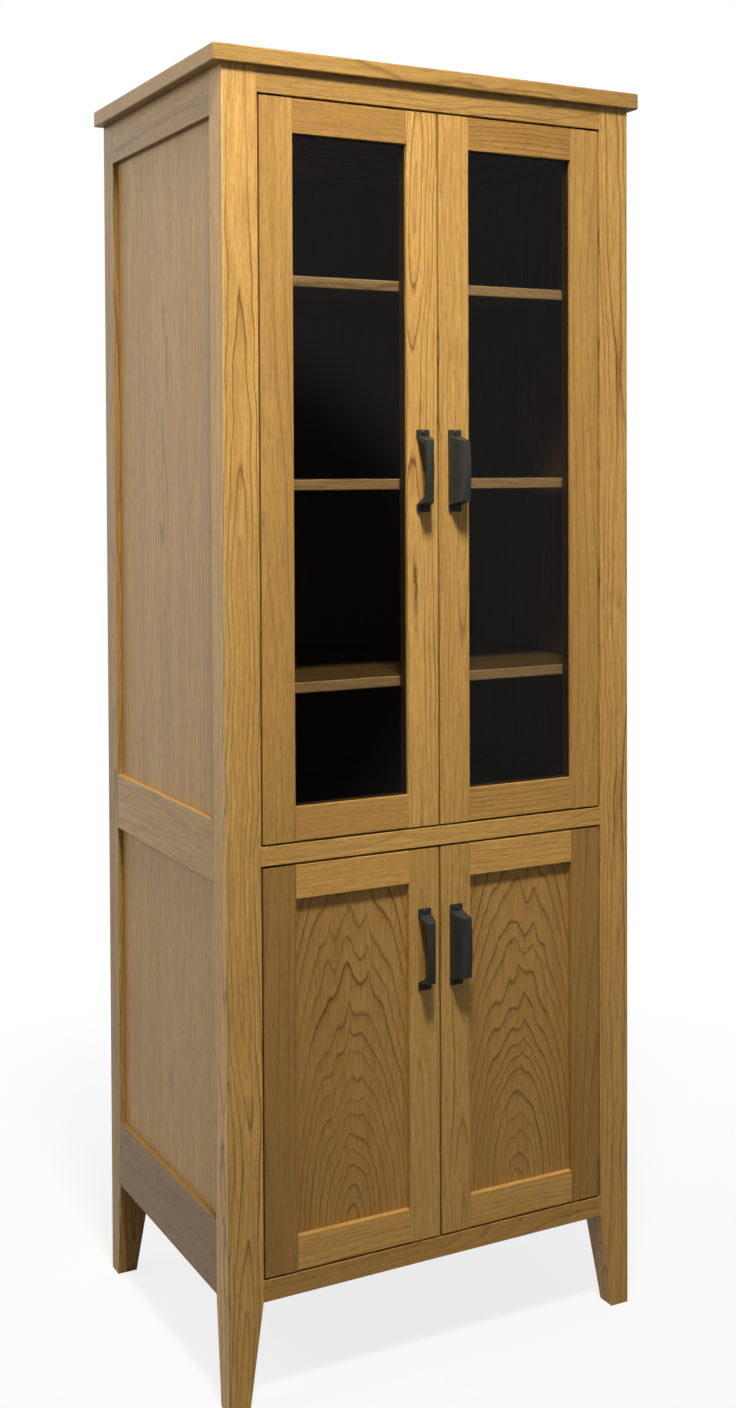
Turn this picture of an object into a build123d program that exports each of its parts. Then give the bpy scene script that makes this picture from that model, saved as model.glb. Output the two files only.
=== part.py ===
"""Tall display cabinet on tapered legs: a frame-and-panel carcass that carries two glazed
doors over two panelled doors, each hung on a pair of pivot hinges.

Frame: +Z up, front faces -Y, origin on the floor at the centre of the bounding box.
Each sub-part is written to parts/NODE.step, in millimetres.
"""

import os

from build123d import *

# ---------------------------------------------------------------- driving dimensions, mm
HEIGHT = 1800.0
BODY_WIDTH = 646.0  # outside of the posts
BODY_DEPTH = 470.0
TOP_THICKNESS = 23.0
TOP_OVERHANG_FRONT = 8.0  # the back is flush
TOP_OVERHANG_SIDE = 15.0

POST_WIDTH = 50.0  # seen from the front
POST_DEPTH = 42.0  # seen from the side
FOOT_WIDTH = 30.0
FOOT_DEPTH = 28.0

FRAME_THICKNESS = 22.0  # rails and door frames
PANEL_THICKNESS = 6.0
SIDE_RECESS = 8.0
DOOR_RECESS = 9.0  # a lower door's panel behind its frame's face
GLASS_RECESS = 6.0
GROOVE = 8.0  # depth of every panel groove, stub tenon and glass rabbet
TENON_LENGTH = 15.0
TENON_THICKNESS = 8.0
TENON_SHOULDER = 5.0
ARRIS = 0.6  # chamfer on the front edges of rails and door frames
SHELF_ARRIS = 1.0
POST_ROUNDING = 1.5
TOP_CORNER_RADIUS = 3.0
TOP_EDGE_RADIUS = 2.0

FRONT_TOP_RAIL = (1743.0, HEIGHT - TOP_THICKNESS)
FRONT_MID_RAIL = (723.0, 749.0)
FRONT_BOTTOM_RAIL = (140.0, 169.0)
SIDE_TOP_RAIL = (1716.0, HEIGHT - TOP_THICKNESS)
SIDE_MID_RAIL = (700.0, 782.0)
SIDE_BOTTOM_RAIL = (145.0, 243.0)
REAR_TOP_RAIL = (1720.0, HEIGHT - TOP_THICKNESS)
REAR_BOTTOM_RAIL = (145.0, 205.0)

DOOR_GAP = 3.0
DOOR_STILE = 48.0
DOOR_RAIL = 46.0
GLASS_THICKNESS = 4.0
GLASS_CLEARANCE = 1.0
PANEL_CLEARANCE = 0.5

DECK_THICKNESS = 20.0
SHELF_THICKNESS = 15.0
SHELF_TOPS = {"upper_shelf_top": 1510.0, "upper_shelf_middle": 1235.0, "upper_shelf_bottom": 960.0,
              "lower_shelf": 450.0}
SHELF_SETBACK = 30.0
SHELF_CLEARANCE = 1.5
PIN_RADIUS = 2.5
PIN_COLLAR_RADIUS = 4.0
PIN_COLLAR = 1.2
PIN_INSET = 8.0
PIN_REACH = 9.0
PIN_SETBACK = 36.0
PIN_PITCH = 32.0

PIVOT_INSET = 9.5  # pivot axis from the door's hinge edge
PIVOT_SETBACK = 5.5  # pivot axis behind the door's face
PIVOT_RADIUS = 2.0
PIVOT_CLEARANCE = 0.05
LEAF_LENGTH = 34.0
LEAF_WIDTH = 7.0
LEAF_THICKNESS = 2.5
LEAF_CORNER_RADIUS = 3.0
COLLAR_RADIUS = 3.2
COLLAR_CLEARANCE = 0.2
PIN_TIP = 0.3  # how far a pivot pin stands past the door's leaf
RELIEF_RADIUS = 2.6
RELIEF_DEPTH = 4.0

CATCH_HALF_WIDTH = 24.0
CATCH_DEPTH = 12.5
CATCH_HEIGHT = 36.0
POLE_OFFSET = 26.0  # middle of the pole faces from the deck
POLE_HEIGHT = 14.0
POLE_WIDTH = 15.0
POLE_FACE = 1.5
CATCH_ROUNDING = 1.0
STRIKE_SIZE = (20.0, 18.0)
STRIKE_THICKNESS = 1.2
STRIKE_INSET = 3.0
STRIKE_CLEARANCE = 0.3
STRIKE_CORNER_RADIUS = 2.0

HANDLE_PROJECTION = 30.0
HANDLE_WIDTH = 20.0
HANDLE_LENGTH = 114.0
HANDLE_TAB = 8.5
HANDLE_TAB_THICKNESS = 2.5
HANDLE_WALL = 2.8
CROWN_OFFSET = 4.0  # the line that stands furthest out, from the handle's middle
LIP_OFFSET = 9.5  # the shell's open edge, from the handle's middle
LIP_RADIUS = 1.5
END_SLOPE = 6.5  # how much shorter the shell is at its front than at the door
END_DROP = 3.0  # how much less its ends stand out than its middle
CAVITY_SLOPE = 11.0
CAVITY_DROP = 5.0  # how much less the finger space stands out than the shell
TAB_CORNER_RADIUS = 1.5
UPPER_HANDLE_Z = 1246.0
LOWER_HANDLE_Z = 580.0
SCREW_RADIUS = 1.5
SCREW_DEPTH = 14.0
SCREW_HEAD_RADIUS = 3.1
SCREW_HEAD = 1.6
SCREW_DOME_RADIUS = 1.2
SLOT_WIDTH = 0.8
SLOT_DEPTH = 0.7

LEFT, RIGHT = -1, 1
SIDES = ((LEFT, "left"), (RIGHT, "right"))

# ---------------------------------------------------------------- places worked out from them
FRONT = -(BODY_DEPTH - HANDLE_PROJECTION) / 2
BACK = FRONT + BODY_DEPTH
HALF = BODY_WIDTH / 2
OPENING = HALF - POST_WIDTH  # half the width between the front posts
TOP_UNDERSIDE = HEIGHT - TOP_THICKNESS
RAIL_INNER = HALF - FRAME_THICKNESS
FRONT_POST_BACK = FRONT + POST_DEPTH
REAR_POST_FRONT = BACK - POST_DEPTH
REAR_RAIL_FRONT = BACK - FRAME_THICKNESS
DOOR_BACK = FRONT + FRAME_THICKNESS
SIDE_GROOVE_X = (HALF - SIDE_RECESS - PANEL_THICKNESS, HALF - SIDE_RECESS)
BACK_GROOVE_Y = (BACK - SIDE_RECESS - PANEL_THICKNESS, BACK - SIDE_RECESS)
DOOR_GROOVE_Y = (FRONT + DOOR_RECESS, FRONT + DOOR_RECESS + PANEL_THICKNESS)
GLASS_RABBET_Y = (FRONT + GLASS_RECESS, DOOR_BACK)
GLASS_Y = (FRONT + GLASS_RECESS, FRONT + GLASS_RECESS + GLASS_THICKNESS)
DOOR_EDGE = OPENING - DOOR_GAP
MEETING_EDGE = DOOR_GAP / 2
DOOR_X = (MEETING_EDGE, DOOR_EDGE)
SIGHT_X = (MEETING_EDGE + DOOR_STILE, DOOR_EDGE - DOOR_STILE)  # panel or glass that shows
SEAT_X = (SIGHT_X[0] - GROOVE, SIGHT_X[1] + GROOVE)
UPPER_DOOR_Z = (FRONT_MID_RAIL[1] + DOOR_GAP, FRONT_TOP_RAIL[0] - DOOR_GAP)
LOWER_DOOR_Z = (FRONT_BOTTOM_RAIL[1] + DOOR_GAP, FRONT_MID_RAIL[0] - DOOR_GAP)
MIDDLE_DECK_Z = (FRONT_MID_RAIL[1] - DECK_THICKNESS, FRONT_MID_RAIL[1])
BOTTOM_DECK_Z = (FRONT_BOTTOM_RAIL[1] - DECK_THICKNESS, FRONT_BOTTOM_RAIL[1])
PIVOT_X = DOOR_EDGE - PIVOT_INSET
PIVOT_Y = FRONT + PIVOT_SETBACK
HANDLE_X = MEETING_EDGE + DOOR_STILE / 2
SCREW_OFFSET = (HANDLE_LENGTH - HANDLE_TAB) / 2  # handle screw from the handle's middle
SHELF_PIN_Z = [top - SHELF_THICKNESS - PIN_RADIUS for top in SHELF_TOPS.values()]


# ---------------------------------------------------------------- helpers
def span(a, b):
    """The two limits in rising order."""
    return (min(a, b), max(a, b))


def on_side(side, limits):
    """X limits given for the right half, moved to that side."""
    return span(side * limits[0], side * limits[1])


def block(x, y, z):
    """A box between limits along each axis."""
    size = [high - low for low, high in (x, y, z)]
    middle = [(low + high) / 2 for low, high in (x, y, z)]
    return Pos(*middle) * Box(*size)


def prism(plane, points, start, end):
    """A polygon drawn on a plane through the origin, extruded from start to end along its normal."""
    face = make_face(Polyline(*points, close=True))
    return extrude(plane.offset(start) * face, amount=end - start)


def rod(radius, centre, start, end, axis="z"):
    """A round bar along one axis. centre holds the other two coordinates, in x, y, z order."""
    bar = Cylinder(radius, end - start, align=(Align.CENTER, Align.CENTER, Align.MIN))
    if axis == "z":
        return Pos(centre[0], centre[1], start) * bar
    if axis == "y":
        return Pos(centre[0], start, centre[1]) * Rot(-90, 0, 0) * bar
    return Pos(start, centre[0], centre[1]) * Rot(0, 90, 0) * bar


def ease_front(solid, axis, size=ARRIS):
    """Takes the arris off the front edges that run along an axis."""
    return chamfer(solid.edges().filter_by(axis).group_by(Axis.Y)[0], size)


def save(name, *pieces):
    """Writes one sub-part of one or more separate solids."""
    solids = [solid for piece in pieces for solid in piece.solids()]
    export_step(Compound(children=solids) if len(solids) > 1 else solids[0], f"parts/{name}.step")


# ---------------------------------------------------------------- pivot hinges
def leaf_block(side, z):
    """The space that one pivot leaf takes, in a rail or in a door."""
    x = on_side(side, (DOOR_EDGE - LEAF_LENGTH, DOOR_EDGE))
    y = (PIVOT_Y - LEAF_WIDTH / 2, PIVOT_Y + LEAF_WIDTH / 2)
    return fillet(block(x, y, z).edges().filter_by(Axis.Z), LEAF_CORNER_RADIUS)


def leaf_levels(door_z):
    """For each end of a door: case leaf limits, door leaf limits, and the way into the door."""
    low, high = door_z
    top_case = (high + DOOR_GAP, high + DOOR_GAP + LEAF_THICKNESS)
    bottom_case = (low - DOOR_GAP - LEAF_THICKNESS, low - DOOR_GAP)
    return [(top_case, (high - LEAF_THICKNESS, high), -1), (bottom_case, (low, low + LEAF_THICKNESS), 1)]


def case_leaves(side, door_z):
    """The two leaves let into the rails, each with its collar and pivot pin."""
    leaves = []
    for case_z, _, way in leaf_levels(door_z):
        face = case_z[0] if way < 0 else case_z[1]
        collar_end = face + way * (DOOR_GAP - COLLAR_CLEARANCE)
        pin_end = face + way * (DOOR_GAP + LEAF_THICKNESS + PIN_TIP)
        collar = rod(COLLAR_RADIUS, (side * PIVOT_X, PIVOT_Y), *span(face, collar_end))
        pin = rod(PIVOT_RADIUS, (side * PIVOT_X, PIVOT_Y), *span(face, pin_end))
        leaves.append(leaf_block(side, case_z) + collar + pin)
    return leaves


def door_leaves(side, door_z):
    """The two leaves let into the door's ends, bored for the pivot pins."""
    leaves = []
    for _, leaf_z, _ in leaf_levels(door_z):
        bore = rod(PIVOT_RADIUS + PIVOT_CLEARANCE, (side * PIVOT_X, PIVOT_Y), *leaf_z)
        leaves.append(leaf_block(side, leaf_z) - bore)
    return leaves


# ---------------------------------------------------------------- carcass
def rail_tenon(z):
    """The tenon through a front rail, long enough for both posts."""
    reach = OPENING + TENON_LENGTH
    y = FRONT + (FRAME_THICKNESS - TENON_THICKNESS) / 2
    return block((-reach, reach), (y, y + TENON_THICKNESS), (z[0] + TENON_SHOULDER, z[1] - TENON_SHOULDER))


def front_rail(z):
    """A rail between the front posts, seated for the pivot leaves beside it."""
    rail = ease_front(block((-OPENING, OPENING), (FRONT, DOOR_BACK), z), Axis.X) + rail_tenon(z)
    for door_z in (UPPER_DOOR_Z, LOWER_DOOR_Z):
        for case_z, _, _ in leaf_levels(door_z):
            if z[0] <= case_z[0] and case_z[1] <= z[1]:
                rail -= leaf_block(LEFT, case_z) + leaf_block(RIGHT, case_z)
    return rail


def rear_rail(z, panel_edge):
    """A rail across the back, with stub tenons and a groove for the back panel."""
    reach = (-OPENING - GROOVE, OPENING + GROOVE)
    rail = block((-OPENING, OPENING), (REAR_RAIL_FRONT, BACK), z) + block(reach, BACK_GROOVE_Y, z)
    return rail - block(reach, BACK_GROOVE_Y, panel_edge)


def side_rail(side, z, panel_edges, deck_z=None):
    """A rail between the posts of one side, grooved for its panels and housed for a deck."""
    y = (FRONT_POST_BACK, REAR_POST_FRONT)
    reach = (y[0] - GROOVE, y[1] + GROOVE)
    groove_x = on_side(side, SIDE_GROOVE_X)
    rail = block(on_side(side, (RAIL_INNER, HALF)), y, z) + block(groove_x, reach, z)
    for edge in panel_edges:
        rail -= block(groove_x, reach, edge)
    if deck_z:
        rail -= block(on_side(side, (RAIL_INNER, RAIL_INNER + GROOVE)), y, deck_z)
    return rail


def taper(side, outer_y, inner_y):
    """What comes off the two inner faces of a leg. The outer faces stay plumb."""
    inward = 1 if inner_y > outer_y else -1
    top, past = FRONT_BOTTOM_RAIL[0], 1.0  # the cutters run 1 mm past the wood
    in_x, foot_x = side * OPENING, side * (HALF - FOOT_WIDTH)
    clear_x = in_x - side * past
    across = [(in_x, top), (foot_x, 0), (foot_x, -past), (clear_x, -past), (clear_x, top)]
    foot_y, clear_y = outer_y + inward * FOOT_DEPTH, inner_y + inward * past
    along = [(inner_y, top), (foot_y, 0), (foot_y, -past), (clear_y, -past), (clear_y, top)]
    from_inner_side = prism(Plane.XZ, across, -BACK - past, -FRONT + past)
    return from_inner_side, prism(Plane.YZ, along, -HALF - past, HALF + past)


def post(side, front):
    """A corner post that ends in a tapered leg, grooved, mortised and bored for what it carries."""
    outer_y, inner_y = (FRONT, FRONT_POST_BACK) if front else (BACK, REAR_POST_FRONT)
    inward = 1 if front else -1
    body = block(on_side(side, (OPENING, HALF)), span(outer_y, inner_y), (0, TOP_UNDERSIDE))
    corner = body.edges().filter_by(Axis.Z).sort_by(lambda e: side * e.center().X - inward * e.center().Y)
    body = fillet(corner[-1], POST_ROUNDING)
    for wedge in taper(side, outer_y, inner_y):
        body -= wedge

    groove_y = span(inner_y, inner_y - inward * GROOVE)
    body -= block(on_side(side, SIDE_GROOVE_X), groove_y, (SIDE_BOTTOM_RAIL[0], TOP_UNDERSIDE))
    pin_y, pin_x = outer_y + inward * PIN_SETBACK, on_side(side, (OPENING, OPENING + PIN_INSET))
    for pin_z in SHELF_PIN_Z:
        for step in (-1, 0, 1):  # one hole in use and a spare each way
            body -= rod(PIN_RADIUS, (pin_y, pin_z + step * PIN_PITCH), *pin_x, axis="x")
    if front:
        for z in (FRONT_TOP_RAIL, FRONT_MID_RAIL, FRONT_BOTTOM_RAIL):
            body -= rail_tenon(z)
    else:
        groove_x = on_side(side, (OPENING, OPENING + GROOVE))
        body -= block(groove_x, BACK_GROOVE_Y, (REAR_BOTTOM_RAIL[0], TOP_UNDERSIDE))
    return body


def top_board():
    """The overhanging top, with rounded front corners and eased edges on all sides but the back."""
    x, y = HALF + TOP_OVERHANG_SIDE, (FRONT - TOP_OVERHANG_FRONT, BACK)
    board = block((-x, x), y, (TOP_UNDERSIDE, HEIGHT))
    board = fillet(board.edges().filter_by(Axis.Z).group_by(Axis.Y)[0], TOP_CORNER_RADIUS)
    level = board.edges() - board.edges().filter_by(Axis.Z)
    return fillet([edge for edge in level if edge.center().Y < BACK - TOP_EDGE_RADIUS], TOP_EDGE_RADIUS)


def deck(z, back_edge):
    """A fixed floor, notched round the posts and housed in the side rails."""
    reach = RAIL_INNER + GROOVE
    middle = block((-reach, reach), (FRONT_POST_BACK, REAR_POST_FRONT), z)
    return middle + block((-OPENING, OPENING), (DOOR_BACK, back_edge), z)


def shelf(top):
    """A loose shelf, notched round the posts."""
    z = (top - SHELF_THICKNESS, top)
    wide, narrow = RAIL_INNER - SHELF_CLEARANCE, OPENING - SHELF_CLEARANCE
    middle_y = (FRONT_POST_BACK + SHELF_CLEARANCE, REAR_POST_FRONT - SHELF_CLEARANCE)
    full_y = (FRONT + SHELF_SETBACK, REAR_RAIL_FRONT - SHELF_CLEARANCE)
    front_to_back = ease_front(block((-narrow, narrow), full_y, z), Axis.X, SHELF_ARRIS)
    return block((-wide, wide), middle_y, z) + front_to_back


def shelf_pins():
    """Four collared pins under each shelf."""
    pins = []
    for side, _ in SIDES:
        shank = on_side(side, (OPENING - PIN_REACH, OPENING + PIN_INSET))
        collar = on_side(side, (OPENING - PIN_COLLAR, OPENING))
        for y in (FRONT + PIN_SETBACK, BACK - PIN_SETBACK):
            for z in SHELF_PIN_Z:
                pin = rod(PIN_RADIUS, (y, z), *shank, axis="x")
                pins.append(pin + rod(PIN_COLLAR_RADIUS, (y, z), *collar, axis="x"))
    return pins


def side_panel(side, z):
    """A side panel between the floors of its grooves."""
    y = (FRONT_POST_BACK - GROOVE, REAR_POST_FRONT + GROOVE)
    return block(on_side(side, SIDE_GROOVE_X), y, z)


# ---------------------------------------------------------------- magnetic catches
def magnet_catch(deck_face, way):
    """A double magnetic catch on a deck, behind the meeting stiles, with two pole faces in front."""
    front = DOOR_BACK + STRIKE_THICKNESS + STRIKE_CLEARANCE
    y = (front + POLE_FACE, front + POLE_FACE + CATCH_DEPTH)
    z = span(deck_face, deck_face + way * CATCH_HEIGHT)
    body = block((-CATCH_HALF_WIDTH, CATCH_HALF_WIDTH), y, z)
    body = fillet(body.edges().filter_by(Axis.Y), CATCH_ROUNDING)
    pole = deck_face + way * POLE_OFFSET
    pole_z = (pole - POLE_HEIGHT / 2, pole + POLE_HEIGHT / 2)
    pole_start = MEETING_EDGE + STRIKE_INSET + (STRIKE_SIZE[0] - POLE_WIDTH) / 2
    pole_x = (pole_start, pole_start + POLE_WIDTH)
    for side, _ in SIDES:
        body += block(on_side(side, pole_x), (front, front + POLE_FACE), pole_z)
    return body


def strike_plate(side, pole):
    """The steel plate on the back of a meeting stile."""
    start = MEETING_EDGE + STRIKE_INSET
    x = on_side(side, (start, start + STRIKE_SIZE[0]))
    z = (pole - STRIKE_SIZE[1] / 2, pole + STRIKE_SIZE[1] / 2)
    plate = block(x, (DOOR_BACK, DOOR_BACK + STRIKE_THICKNESS), z)
    return fillet(plate.edges().filter_by(Axis.Y), STRIKE_CORNER_RADIUS)


# ---------------------------------------------------------------- doors
def hinge_stile(side, z, seat_y):
    """The stile that carries the pivot leaves, with relief for the pins' tips."""
    stile = ease_front(block(on_side(side, (SIGHT_X[1], DOOR_X[1])), (FRONT, DOOR_BACK), z), Axis.Z)
    stile -= block(on_side(side, (SIGHT_X[1], SEAT_X[1])), seat_y, z)
    for _, leaf_z, way in leaf_levels(z):
        face = leaf_z[0] if way < 0 else leaf_z[1]
        stile -= leaf_block(side, leaf_z)
        stile -= rod(RELIEF_RADIUS, (side * PIVOT_X, PIVOT_Y), *span(face, face + way * RELIEF_DEPTH))
    return stile


def meeting_stile(side, z, seat_y, handle_z):
    """The stile at the middle of the cabinet, bored for the handle's screws."""
    stile = ease_front(block(on_side(side, (DOOR_X[0], SIGHT_X[0])), (FRONT, DOOR_BACK), z), Axis.Z)
    stile -= block(on_side(side, (SEAT_X[0], SIGHT_X[0])), seat_y, z)
    for screw_z in (handle_z - SCREW_OFFSET, handle_z + SCREW_OFFSET):
        stile -= rod(SCREW_RADIUS, (side * HANDLE_X, screw_z), FRONT, FRONT + SCREW_DEPTH, axis="y")
    return stile


def door_rails(side, z, seat_y):
    """Top and bottom rail of one door, the same piece turned over."""
    seat_x = on_side(side, SEAT_X)
    top, bottom = (z[1] - DOOR_RAIL, z[1]), (z[0], z[0] + DOOR_RAIL)
    top_edge, bottom_edge = (top[0], top[0] + GROOVE), (bottom[1] - GROOVE, bottom[1])
    rails = []
    for limits, edge in ((top, top_edge), (bottom, bottom_edge)):
        rail = ease_front(block(on_side(side, SIGHT_X), (FRONT, DOOR_BACK), limits), Axis.X)
        rails.append(rail + block(seat_x, seat_y, limits) - block(seat_x, seat_y, edge))
    return rails


def filling(z, clearance):
    """X and Z limits of a door's glass or panel, with that clearance all round in its seat."""
    x = (SEAT_X[0] + clearance, SEAT_X[1] - clearance)
    return x, (z[0] + DOOR_RAIL - GROOVE + clearance, z[1] - DOOR_RAIL + GROOVE - clearance)


def glazing_beads(side, z):
    """Four mitred strips that hold the glass in its rabbet from behind."""
    x, (z0, z1) = filling(z, 0.0)
    x0, x1 = on_side(side, x)
    g = GROOVE
    outlines = [
        [(x0, z0), (x1, z0), (x1 - g, z0 + g), (x0 + g, z0 + g)],
        [(x0, z1), (x1, z1), (x1 - g, z1 - g), (x0 + g, z1 - g)],
        [(x0, z0), (x0, z1), (x0 + g, z1 - g), (x0 + g, z0 + g)],
        [(x1, z0), (x1, z1), (x1 - g, z1 - g), (x1 - g, z0 + g)],
    ]
    return [prism(Plane.XZ, outline, -DOOR_BACK, -GLASS_Y[1]) for outline in outlines]


# ---------------------------------------------------------------- handles
def handle_plan(inset, far_u):
    """The shell's section seen along Z: a quarter ellipse that turns into the flat lip."""
    a, b = HANDLE_WIDTH / 2 + CROWN_OFFSET - inset, HANDLE_PROJECTION - inset
    curve = EllipticalCenterArc((CROWN_OFFSET, 0), a, b, start_angle=90, arc_size=90)
    rest = Polyline((CROWN_OFFSET - a, 0), (far_u, 0), (far_u, b), (CROWN_OFFSET, b))
    section = make_face(curve + rest)
    return extrude(Plane.XY.offset(-HANDLE_LENGTH / 2) * section, amount=HANDLE_LENGTH)


def handle_profile(half, slope, ends, crown):
    """The shell's outline seen along X: sloped ends and a bowed front."""
    bow = ThreePointArc((ends, slope - half), (crown, 0), (ends, half - slope))
    outline = bow + Polyline((ends, half - slope), (0, half), (0, -half), (ends, slope - half))
    across = Plane(origin=(-2 * HANDLE_WIDTH, 0, 0), x_dir=(0, 1, 0), z_dir=(1, 0, 0))
    return extrude(across * make_face(outline), amount=4 * HANDLE_WIDTH)


def handle_shell(side, z):
    """A cast pull: a curved shell, closed on the meeting side and open on the hinge side for the
    fingers, between two screw tabs. It is drawn standing out along +Y, closed at -X."""
    half_body = HANDLE_LENGTH / 2 - HANDLE_TAB
    ends = HANDLE_PROJECTION - END_DROP
    outer = handle_plan(0.0, LIP_OFFSET) & handle_profile(half_body, END_SLOPE, ends, HANDLE_PROJECTION)
    outer = fillet(outer.edges().filter_by(Axis.Z).sort_by(Axis.X)[-1], LIP_RADIUS)
    cavity = handle_plan(HANDLE_WALL, HANDLE_WIDTH)
    reach = HANDLE_PROJECTION - CAVITY_DROP
    cavity &= handle_profile(half_body - HANDLE_WALL, CAVITY_SLOPE, ends - CAVITY_DROP, reach)
    shell = outer - cavity
    half_width = HANDLE_WIDTH / 2
    for way in (-1, 1):
        tab_z = span(way * (half_body - HANDLE_WALL), way * HANDLE_LENGTH / 2)
        tab = block((-half_width, half_width), (0, HANDLE_TAB_THICKNESS), tab_z)
        corners = tab.edges().filter_by(Axis.Y).sort_by(lambda e: way * e.center().Z)[-2:]
        hole = rod(SCREW_RADIUS, (0, way * SCREW_OFFSET), 0, HANDLE_TAB_THICKNESS, axis="y")
        shell += fillet(corners, TAB_CORNER_RADIUS)
        shell -= hole
    placed = mirror(shell, Plane.XZ)
    if side == LEFT:
        placed = mirror(placed, Plane.YZ)
    return Pos(side * HANDLE_X, FRONT, z) * placed


def handle_screws(side, z):
    """Two slotted screws with domed heads, through the handle's tabs into the meeting stile."""
    seat = FRONT - HANDLE_TAB_THICKNESS
    screws = []
    for screw_z in (z - SCREW_OFFSET, z + SCREW_OFFSET):
        centre = (side * HANDLE_X, screw_z)
        head = rod(SCREW_HEAD_RADIUS, centre, seat - SCREW_HEAD, seat, axis="y")
        head = fillet(head.edges().sort_by(Axis.Y)[0], SCREW_DOME_RADIUS)
        slot_x = (centre[0] - SCREW_HEAD_RADIUS, centre[0] + SCREW_HEAD_RADIUS)
        slot_y = (seat - SCREW_HEAD, seat - SCREW_HEAD + SLOT_DEPTH)
        head -= block(slot_x, slot_y, (screw_z - SLOT_WIDTH / 2, screw_z + SLOT_WIDTH / 2))
        screws.append(head + rod(SCREW_RADIUS, centre, seat, FRONT + SCREW_DEPTH, axis="y"))
    return screws


# ---------------------------------------------------------------- writing the sub-parts
def write_frame():
    """Top, posts, rails and panels."""
    save("top_board", top_board())
    upper_z = (SIDE_MID_RAIL[1] - GROOVE, SIDE_TOP_RAIL[0] + GROOVE)
    lower_z = (SIDE_BOTTOM_RAIL[1] - GROOVE, SIDE_MID_RAIL[0] + GROOVE)
    for side, word in SIDES:
        save(f"front_{word}_post", post(side, front=True))
        save(f"rear_{word}_post", post(side, front=False))
        save(f"{word}_upper_side_panel", side_panel(side, upper_z))
        save(f"{word}_lower_side_panel", side_panel(side, lower_z))
    save("front_top_rail", front_rail(FRONT_TOP_RAIL))
    save("front_mid_rail", front_rail(FRONT_MID_RAIL))
    save("front_bottom_rail", front_rail(FRONT_BOTTOM_RAIL))

    above_upper, below_upper = (SIDE_TOP_RAIL[0], upper_z[1]), (upper_z[0], SIDE_MID_RAIL[1])
    above_lower, below_lower = (SIDE_MID_RAIL[0], lower_z[1]), (lower_z[0], SIDE_BOTTOM_RAIL[1])
    mid_edges = [above_lower, below_upper]
    save("side_top_rails", *[side_rail(s, SIDE_TOP_RAIL, [above_upper]) for s, _ in SIDES])
    save("side_mid_rails", *[side_rail(s, SIDE_MID_RAIL, mid_edges, MIDDLE_DECK_Z) for s, _ in SIDES])
    save("side_bottom_rails",
         *[side_rail(s, SIDE_BOTTOM_RAIL, [below_lower], BOTTOM_DECK_Z) for s, _ in SIDES])

    back_z = (REAR_BOTTOM_RAIL[1] - GROOVE, REAR_TOP_RAIL[0] + GROOVE)
    save("rear_rails", rear_rail(REAR_TOP_RAIL, (REAR_TOP_RAIL[0], back_z[1])),
         rear_rail(REAR_BOTTOM_RAIL, (back_z[0], REAR_BOTTOM_RAIL[1])))
    save("back_panel", block((-OPENING - GROOVE, OPENING + GROOVE), BACK_GROOVE_Y, back_z))


def write_inside():
    """Decks, shelves, pins, the case's half of the pivots, and the catches."""
    save("middle_deck", deck(MIDDLE_DECK_Z, BACK_GROOVE_Y[0]))
    save("bottom_deck", deck(BOTTOM_DECK_Z, REAR_RAIL_FRONT))
    for name, top in SHELF_TOPS.items():
        save(name, shelf(top))
    save("shelf_pins", *shelf_pins())
    door_places = [(side, z) for z in (UPPER_DOOR_Z, LOWER_DOOR_Z) for side, _ in SIDES]
    save("case_pivot_leaves", *[leaf for side, z in door_places for leaf in case_leaves(side, z)])
    save("magnet_catches", magnet_catch(MIDDLE_DECK_Z[1], 1), magnet_catch(MIDDLE_DECK_Z[0], -1))


def write_door(name, side, z, seat_y, handle_z, pole):
    """The pieces that a glazed and a panelled door share."""
    save(f"{name}_hinge_stile", hinge_stile(side, z, seat_y))
    save(f"{name}_meeting_stile", meeting_stile(side, z, seat_y, handle_z))
    save(f"{name}_rails", *door_rails(side, z, seat_y))
    save(f"{name}_handle", handle_shell(side, handle_z))
    save(f"{name}_handle_screws", *handle_screws(side, handle_z))
    save(f"{name}_pivot_leaves", *door_leaves(side, z))
    save(f"{name}_strike_plate", strike_plate(side, pole))


def write_doors():
    """All four doors, with what fills their frames."""
    for side, word in SIDES:
        upper, lower = f"upper_{word}_door", f"lower_{word}_door"
        upper_pole, lower_pole = MIDDLE_DECK_Z[1] + POLE_OFFSET, MIDDLE_DECK_Z[0] - POLE_OFFSET
        write_door(upper, side, UPPER_DOOR_Z, GLASS_RABBET_Y, UPPER_HANDLE_Z, upper_pole)
        write_door(lower, side, LOWER_DOOR_Z, DOOR_GROOVE_Y, LOWER_HANDLE_Z, lower_pole)
        glass_x, glass_z = filling(UPPER_DOOR_Z, GLASS_CLEARANCE)
        panel_x, panel_z = filling(LOWER_DOOR_Z, PANEL_CLEARANCE)
        save(f"{upper}_glass", block(on_side(side, glass_x), GLASS_Y, glass_z))
        save(f"{upper}_glazing_beads", *glazing_beads(side, UPPER_DOOR_Z))
        save(f"{lower}_panel", block(on_side(side, panel_x), DOOR_GROOVE_Y, panel_z))


os.makedirs("parts", exist_ok=True)
write_frame()
write_inside()
write_doors()
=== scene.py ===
"""Looks for the display cabinet: oak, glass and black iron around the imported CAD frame."""
import math
import random
from fnmatch import fnmatch

import bpy
from mathutils import Matrix, Vector


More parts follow.
